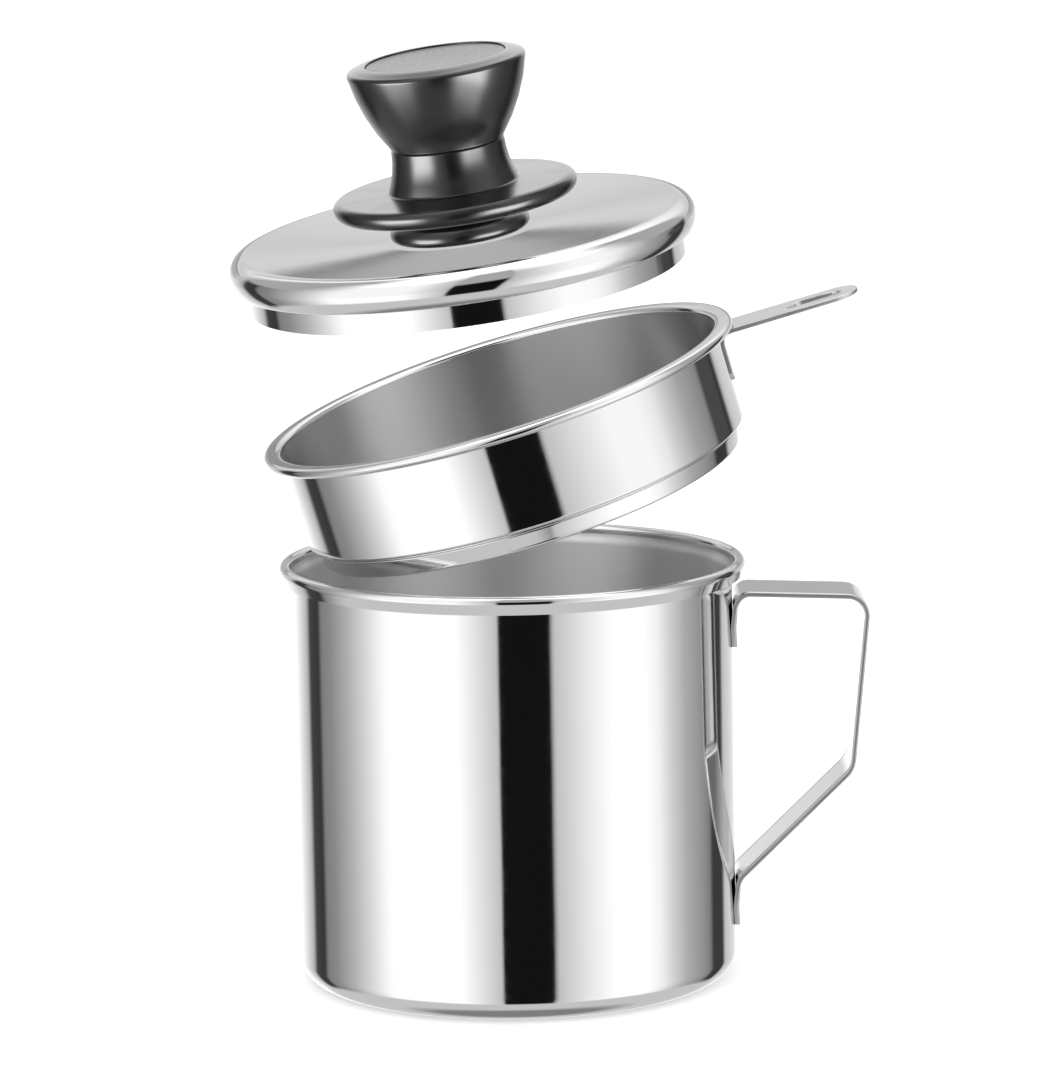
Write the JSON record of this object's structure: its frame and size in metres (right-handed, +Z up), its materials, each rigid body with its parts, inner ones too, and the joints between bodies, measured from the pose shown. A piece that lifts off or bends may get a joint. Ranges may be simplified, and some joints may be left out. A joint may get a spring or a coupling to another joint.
{
  "type": "grease container with strainer",
  "caption": "Polished steel grease mug with strap handle, lift-out mesh strainer with slotted tab, and domed lid with a black knob.",
  "frame": {"origin": "centre of the mug's flat base, on the table", "axes": "+Z up along the mug's axis, +X towards the mug's handle and the strainer's tab"},
  "size_m": [0.1622, 0.1252, 0.2417],
  "materials": {
    "polished_steel": "mirror-polished stainless steel",
    "woven_steel": "fine plain-woven stainless wire",
    "plain_steel": "plain zinc-bright steel",
    "black_bakelite": "moulded black thermoset, polished",
    "black_inlay": "dark satin inlay",
    "brass": "turned brass"
  },
  "bodies": {
    "mug": {"mug_body": "polished_steel", "mug_handle": "polished_steel"},
    "strainer": {"strainer_wall": "polished_steel", "strainer_mesh": "woven_steel", "mesh_ring": "polished_steel", "strainer_handle": "polished_steel"},
    "lid": {"lid_pan": "polished_steel", "lid_skirt": "polished_steel", "knob_foot": "black_bakelite", "knob_guard": "black_bakelite", "knob_grip": "black_bakelite", "knob_cap": "black_inlay", "knob_insert": "brass", "knob_screw": "plain_steel", "screw_washer": "plain_steel"}
  },
  "joints": [
    {"name": "strainer_tilt", "type": "hinge", "parent": "mug", "child": "strainer", "pos_m": [-0.06552, -0.01639, 0.13296], "axis": [0.2426, -0.9701, 0], "range_deg": [-16.38, 10]},
    {"name": "lid_tilt", "type": "hinge", "parent": "strainer", "child": "lid", "pos_m": [0.2057, -0.0409, 0.2154], "axis": [0.1547, 0.9813, 0.1141], "range_deg": [-8.79, 10]}
  ]
}
